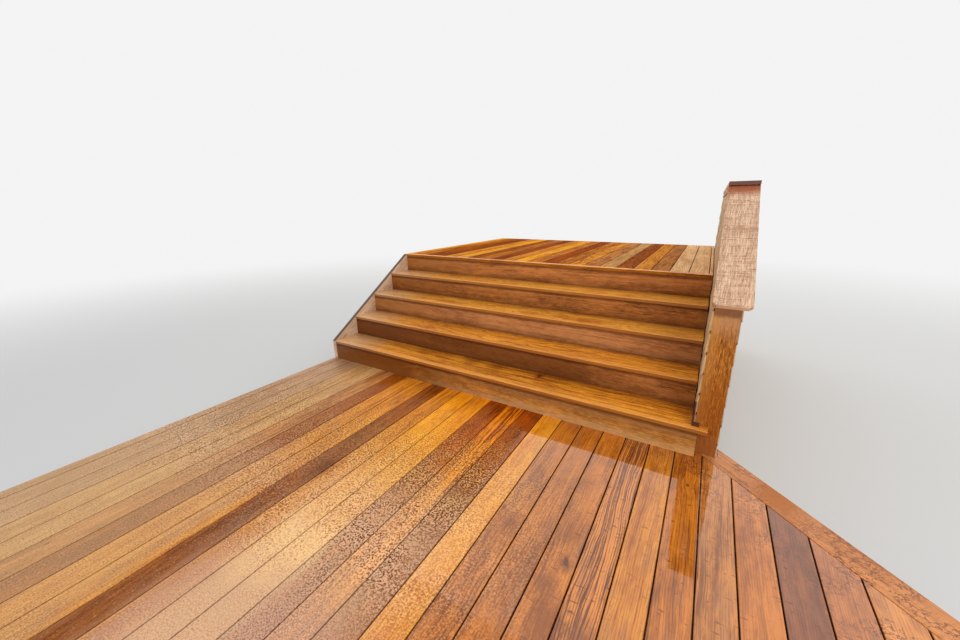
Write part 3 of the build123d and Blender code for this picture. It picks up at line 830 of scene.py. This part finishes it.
endLow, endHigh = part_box("wall_end_board")
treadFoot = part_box("tread_1")[0].z
endBoardLook = {"pale": (190, 114, 34), "dark": (118, 58, 6), "figure": 0.15, "fibre": 0.90, "streak": 0.35,
                "mottle": 0.25, "knots": 0.0, "relief": 1.6, "rough": 0.55, "coat": 0.15, "coatRough": 0.22,
                "level": 0.2, "dash": (222, 154, 66), "dashShare": 0.58, "ease": 0.0015,
                "stainsAndShades": [(2, endHigh.z - 0.24, endHigh.z - 0.08, (206, 152, 104), 0.70),
                           (0, endLow.x + 0.065, endLow.x + 0.015, (214, 148, 72), 0.45),
                           # painted shadow of the cap along the top
                           (2, endHigh.z - 0.072, endHigh.z - 0.044, (112, 62, 30), 0.75),
                           # painted shade below the first tread
                           (2, treadFoot, treadFoot - 0.05, (172, 112, 66), 0.60),
                           (2, 0.98, 0.72, (158, 80, 8), 0.50)]}
easedTimber("wall_end_board", "wallEndBoard", standFront, endBoardLook)
easedTimber("wall_back_board", "wallBackBoard", standFront, dict(endBoardLook, seed=33.0))

footLook = {"pale": (96, 40, 34), "dark": (44, 18, 20), "figure": 0.3, "fibre": 0.3, "streak": 0.3,
            "knots": 0.0, "relief": 0.6, "rough": 0.35, "coat": 0.5}
dress(timber("footBlock", layAcross, footLook), "wall_foot_block")


# framing

framingLook = {"pale": (196, 158, 104), "dark": (148, 108, 64), "figure": 0.60, "fibre": 0.40, "streak": 0.30,
               "knots": 0.35, "relief": 1.0, "rough": 0.68, "sawn": 0.006, "sawDark": 0.12, "bandDark": 0.1}
framing = [  # material, how it lies, its own seed and steps, nodes
    ("crossFraming", layAcrossUpright, {"steps": (1, 0.0, 0.4064)},
     ["lower_joists", "lower_cross_rims", "upper_header", "upper_back_rim", "upper_joists"]),
    ("deepFraming", layDeepUpright, {"seed": 40.0, "steps": (0, 0.0, 0.6)},
     ["lower_long_rims", "lower_beams", "upper_side_rims", "upper_beams"]),
    ("angledFraming", layAngledUpright, {"seed": 60.0}, ["lower_angled_rim"]),
    ("postTimber", standFront, {"seed": 80.0, "steps": (1, 0.0, 0.9)},
     ["lower_posts", "upper_posts", "wall_posts", "wall_studs"]),
    ("stringerTimber", layRakedUpright, {"seed": 90.0, "steps": (0, 0.0, 0.38)}, ["stringers"]),
    ("plateTimber", layDeep, {"seed": 95.0}, ["wall_plates"]),
]
for name, lay, own, dressed in framing:
    dress(timber(name, lay, dict(framingLook, **own)), *dressed)
plyLook = {"pale": (206, 166, 108), "dark": (160, 118, 70), "figure": 0.8, "fibre": 0.3, "streak": 0.2,
           "knots": 0.3, "relief": 0.6, "rough": 0.7}
dress(timber("sheathingPly", standSide, plyLook), "wall_sheathing")
print("flight, wall and framing finished")


# shingles, laid one by one in courses on both faces of the knee wall

shingleLook = {
    "exposure": 0.127,
    "back": 0.006,  # how far the back stands off the sheathing
    "butt": {-1: 0.0205, 1: 0.0145},  # how far the butt stands off it, inner and outer face
    "tip": {-1: 0.011, 1: 0.0085},
    "lap": 0.012,
    "narrow": 0.075,
    "wide": 0.190,
    "courseEnd": 0.01,
    "leastEnd": 0.03,  # a shingle at the end of a course is never narrower
    "sliver": (0.004, 0.02),  # a part narrower or lower than this is left out
    "joint": 0.003,
    "ragged": 0.0035,
    "thinner": 0.0025,
    "tilt": 0.0015,
    "seed": {-1: 5, 1: 55},
    "tones": [(0.0, (204, 164, 112)), (0.3, (222, 184, 130)), (0.6, (232, 198, 146)), (0.85, (214, 178, 136)),
              (1.0, (194, 148, 98))],
    "deep": (120, 78, 44),
    # the colour of the painted shadow between courses
    "courseShadow": (112, 74, 42),
    "under": (-0.012, 0.004, 0.0, 0.60),  # painted shadow under the butt above, from the exposure
    "foot": (0.006, 0.014, 0.35, 0.0),  # and painted shade along the shingle's own butt
    "backing": (0.0005, 0.95),  # the courses beneath: off the sheathing, tone
}


def shingleMaterial():
    material, shader, point = startMaterial("cedarShingle")
    tree = material.node_tree
    tone = addNode(tree, "ShaderNodeAttribute", attribute_name="shingleTone").outputs["Fac"]
    ramp = addNode(tree, "ShaderNodeValToRGB", {0: tone})
    stops = shingleLook["tones"]
    ramp.color_ramp.elements[0].color = colour(*stops[0][1])
    ramp.color_ramp.elements[1].color = colour(*stops[-1][1])
    for place, shade in stops[1:-1]:
        ramp.color_ramp.elements.new(place).color = colour(*shade)
    dark = blend(0.55, ramp.outputs[0], colour(*shingleLook["deep"]), "MULTIPLY")
    grain = useGroup(plankGrain, {
        "Vector": boardSpace(point, standSide), "Seed": times(tone, 900.0),
        "Pale": ramp.outputs[0], "Dark": dark, "Figure": 0.25, "Fibre": 0.60, "Streak": 0.25, "Mottle": 0.35,
        "Knots": 0.01})
    foot = addNode(tree, "ShaderNodeAttribute", attribute_name="shingleFoot").outputs["Fac"]
    # painted shadow under the butt of the course above, and painted shade along each butt
    rise = minus(parted(point)[2], foot)
    rise = scaled(noise(stretched(point, 8.0, 40.0, 8.0), 1.0, 2.0, 0.6), 0.010, rise)
    start, full, least, most = shingleLook["under"]
    under = remap(rise, shingleLook["exposure"] + start, shingleLook["exposure"] + full, least, most)
    courseShadow = plus(under, remap(rise, *shingleLook["foot"]))
    paint = blend(courseShadow, grain["Colour"], colour(*shingleLook["courseShadow"]))
    feed(shader, {"Base Color": paint, "Roughness": scaled(grain["Height"], 0.12, 0.62),
                  "Normal": bumped(grain["Height"], 0.6, 0.0014)})
    return material


def clipped(piece, limits):
    for point, normal in limits:
        geometry = piece.verts[:] + piece.edges[:] + piece.faces[:]
        cut = bmesh.ops.bisect_plane(piece, geom=geometry, dist=1e-6, plane_co=point, plane_no=normal,
                                     clear_outer=True)
        edges = [item for item in cut["geom_cut"] if isinstance(item, bmesh.types.BMEdge)]
        if edges and piece.faces:
            bmesh.ops.edgeloop_fill(piece, edges=edges)


def joinInto(mesh, piece, tone, foot):
    scratch = bpy.data.meshes.new("shingleScratch")
    piece.to_mesh(scratch)
    piece.free()
    before = len(mesh.faces)
    mesh.from_mesh(scratch)
    bpy.data.meshes.remove(scratch)
    mesh.faces.ensure_lookup_table()
    tones, feet = (mesh.faces.layers.float[label] for label in ("shingleTone", "shingleFoot"))
    for item in mesh.faces[before:]:
        item[tones] = tone
        item[feet] = foot


def addShingle(mesh, face, side, y0, y1, z0, z1, shape, tone, limits):
    piece = bmesh.new()
    bmesh.ops.create_cube(piece, size=1.0)
    for vert in piece.verts:
        up, out, right = vert.co.z > 0, vert.co.x > 0, vert.co.y > 0
        front = shingleLook["tip"][side] if up else shape["butt"]
        vert.co = Vector((face + side * (front if out else shingleLook["back"]), y1 if right else y0,
                          z1 if up else z0 + (shape["tilt"] if right else -shape["tilt"])))
    clipped(piece, limits)
    joinInto(mesh, piece, tone, z0)


def exposedParts(y0, y1, z0, z1, floors):
    parts = []
    leastWidth, leastHeight = shingleLook["sliver"]
    for start, end, bottom in floors:
        low, high = max(y0, start), min(y1, end)
        if high - low > leastWidth and z1 > bottom + leastHeight:
            parts.append([low, high, max(z0, bottom)])
    if len(parts) == 2 and parts[0][2] == parts[1][2]:
        parts = [[parts[0][0], parts[1][1], parts[0][2]]]
    return parts


def layShingles(name, node, face, side, base, limits, floors, backing):
    luck = random.Random(shingleLook["seed"][side])
    low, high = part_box(node)
    mesh = bmesh.new()
    for label in ("shingleTone", "shingleFoot"):
        mesh.faces.layers.float.new(label)
    z0 = base
    while z0 < high.z:
        top = z0 + shingleLook["exposure"]
        y = low.y
        while y < high.y - shingleLook["courseEnd"]:
            width = luck.uniform(shingleLook["narrow"], shingleLook["wide"])
            end = high.y if high.y - y - width < shingleLook["leastEnd"] else y + width
            shape = {"butt": shingleLook["butt"][side] - luck.uniform(0, shingleLook["thinner"]),
                     "tilt": luck.uniform(-shingleLook["tilt"], shingleLook["tilt"])}
            lowered = luck.uniform(0, shingleLook["ragged"]) if z0 > base else 0.0
            tone = luck.random()
            for y0, y1, bottom in exposedParts(y, end, z0 - lowered, top, floors):
                addShingle(mesh, face, side, y0, y1, bottom, top + shingleLook["lap"], shape, tone, limits)
            y = end + shingleLook["joint"]
        z0 = top
    off, tone = shingleLook["backing"]
    for y0, y1, bottom in backing:  # the courses beneath, seen through the open joints
        piece = bmesh.new()
        bmesh.ops.create_cube(piece, size=1.0)
        for vert in piece.verts:
            vert.co = Vector((face + side * (shingleLook["back"] if vert.co.x > 0 else off),
                              y1 if vert.co.y > 0 else y0, high.z if vert.co.z > 0 else bottom))
        clipped(piece, limits)
        joinInto(mesh, piece, tone, 0.0)
    bmesh.ops.recalc_face_normals(mesh, faces=mesh.faces[:])
    piece = meshObject(name, mesh, cedarShingle)
    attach(piece, "root")
    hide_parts(node)


cedarShingle = shingleMaterial()
innerLow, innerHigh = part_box("wall_inner_shingles")
outerLow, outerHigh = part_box("wall_outer_shingles")
sheathLow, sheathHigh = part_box("wall_sheathing")
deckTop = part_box("lower_deck_boards")[1].z
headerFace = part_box("upper_header")[0].y
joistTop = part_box("upper_joists")[1].z
rakeLimit = (Vector((0, endHigh.y, endHigh.z)), Vector(offSlope))  # the end board's top is on this line
levelLimit = (Vector((0, 0, innerHigh.z)), Vector((0, 0, 1)))
layShingles("wallShinglesInner", "wall_inner_shingles", sheathLow.x, -1, deckTop, [rakeLimit, levelLimit],
            [(innerLow.y, headerFace, deckTop), (headerFace, innerHigh.y, joistTop)],
            [(endHigh.y, headerFace, deckTop), (headerFace, sheathHigh.y, joistTop)])
layShingles("wallShinglesOuter", "wall_outer_shingles", sheathHigh.x, 1, outerLow.z, [rakeLimit, levelLimit],
            [(outerLow.y, endHigh.y, deckTop), (endHigh.y, outerHigh.y, outerLow.z)],
            [(endHigh.y, sheathHigh.y, outerLow.z)])
print("shingles laid")


# studio: pale floor, soft light, the photograph's viewpoint

studioLook = {"background": 0.90, "ambient": 0.72, "ambientTint": (0.96, 0.98, 1.0, 1), "floor": 0.66,
              "floorSize": 60, "floorFade": (5.0, 14.0), "keyPower": 200, "sheenPower": 1400,
              "sheenTint": (1.0, 0.95, 0.86)}
cameraLook = {"place": (0.9776, -2.9102, 1.843), "heading": 30.95, "downward": 16.65, "roll": 0.58,
              "focus": 379.4 / 960, "sensor": 36}  # focal length as a share of the frame's width


def grey(level):
    return (level, level, level, 1)


def seenDirectly(tree):  # what the camera sees, in a mirror too
    ray = addNode(tree, "ShaderNodeLightPath").outputs
    return calc("MAXIMUM", ray["Is Camera Ray"],
                calc("MAXIMUM", ray["Is Glossy Ray"], ray["Is Transmission Ray"]))


def makeFloor():
    mesh = bmesh.new()
    bmesh.ops.create_grid(mesh, x_segments=1, y_segments=1, size=studioLook["floorSize"])
    material = bpy.data.materials.new("studioFloor")
    material.use_nodes = True
    tree = material.node_tree
    tree.nodes.clear()
    reach = lengthOf(addNode(tree, "ShaderNodeTexCoord").outputs["Object"])
    matt = addNode(tree, "ShaderNodeBsdfDiffuse", {"Color": grey(studioLook["floor"])})
    glow = addNode(tree, "ShaderNodeEmission", {"Color": grey(studioLook["background"])})
    far = times(remap(reach, *studioLook["floorFade"]), seenDirectly(tree))
    both = addNode(tree, "ShaderNodeMixShader", {0: far, 1: matt.outputs[0], 2: glow.outputs[0]})
    addNode(tree, "ShaderNodeOutputMaterial", {"Surface": both.outputs[0]})
    floor = meshObject("studioFloor", mesh, material)


def makeWorld():
    world = bpy.data.worlds.new("studioWorld")
    bpy.context.scene.world = world
    world.use_nodes = True
    tree = world.node_tree
    tree.nodes.clear()
    light = addNode(tree, "ShaderNodeBackground", {
        "Color": studioLook["ambientTint"], "Strength": studioLook["ambient"]})
    seen = addNode(tree, "ShaderNodeBackground", {"Color": grey(studioLook["background"]), "Strength": 1.0})
    both = addNode(tree, "ShaderNodeMixShader", {
        0: seenDirectly(tree), 1: light.outputs[0], 2: seen.outputs[0]})
    addNode(tree, "ShaderNodeOutputWorld", {"Surface": both.outputs[0]})


def addSoftbox(name, place, target, width, height, power, tint=(1, 1, 1)):
    lamp = bpy.data.lights.new(name, "AREA")
    lamp.shape = "RECTANGLE"
    lamp.size = width
    lamp.size_y = height
    lamp.energy = power
    lamp.color = tint
    item = addObject(name, lamp)
    item.location = place
    item.rotation_euler = (Vector(target) - Vector(place)).to_track_quat("-Z", "Y").to_euler()
    item.visible_camera = False


def makeCamera():
    heading, downward, roll = (math.radians(cameraLook[key]) for key in ("heading", "downward", "roll"))
    forward = Vector((-math.sin(heading) * math.cos(downward), math.cos(heading) * math.cos(downward),
                      -math.sin(downward)))
    level = Vector((math.cos(heading), math.sin(heading), 0))
    below = forward.cross(level)
    right = math.cos(roll) * level + math.sin(roll) * below
    down = math.cos(roll) * below - math.sin(roll) * level
    lens = bpy.data.cameras.new("photoView")
    lens.sensor_width = cameraLook["sensor"]
    lens.lens = cameraLook["focus"] * cameraLook["sensor"]
    lens.clip_start = 0.05
    camera = addObject("photoView", lens)
    turn = Matrix((right, -down, -forward)).transposed()
    camera.matrix_world = Matrix.Translation(cameraLook["place"]) @ turn.to_4x4()
    bpy.context.scene.camera = camera


makeFloor()
makeWorld()
addSoftbox("keySoftbox", (4.5, -5.0, 5.0), (0.3, 0.0, 0.6), 4, 4, studioLook["keyPower"])
addSoftbox("sheenSoftbox", (-8.0, 9.0, 8.0), (-8.0, -1.0, 0.4), 44, 12, studioLook["sheenPower"],
           studioLook["sheenTint"])
makeCamera()
print("studio ready")
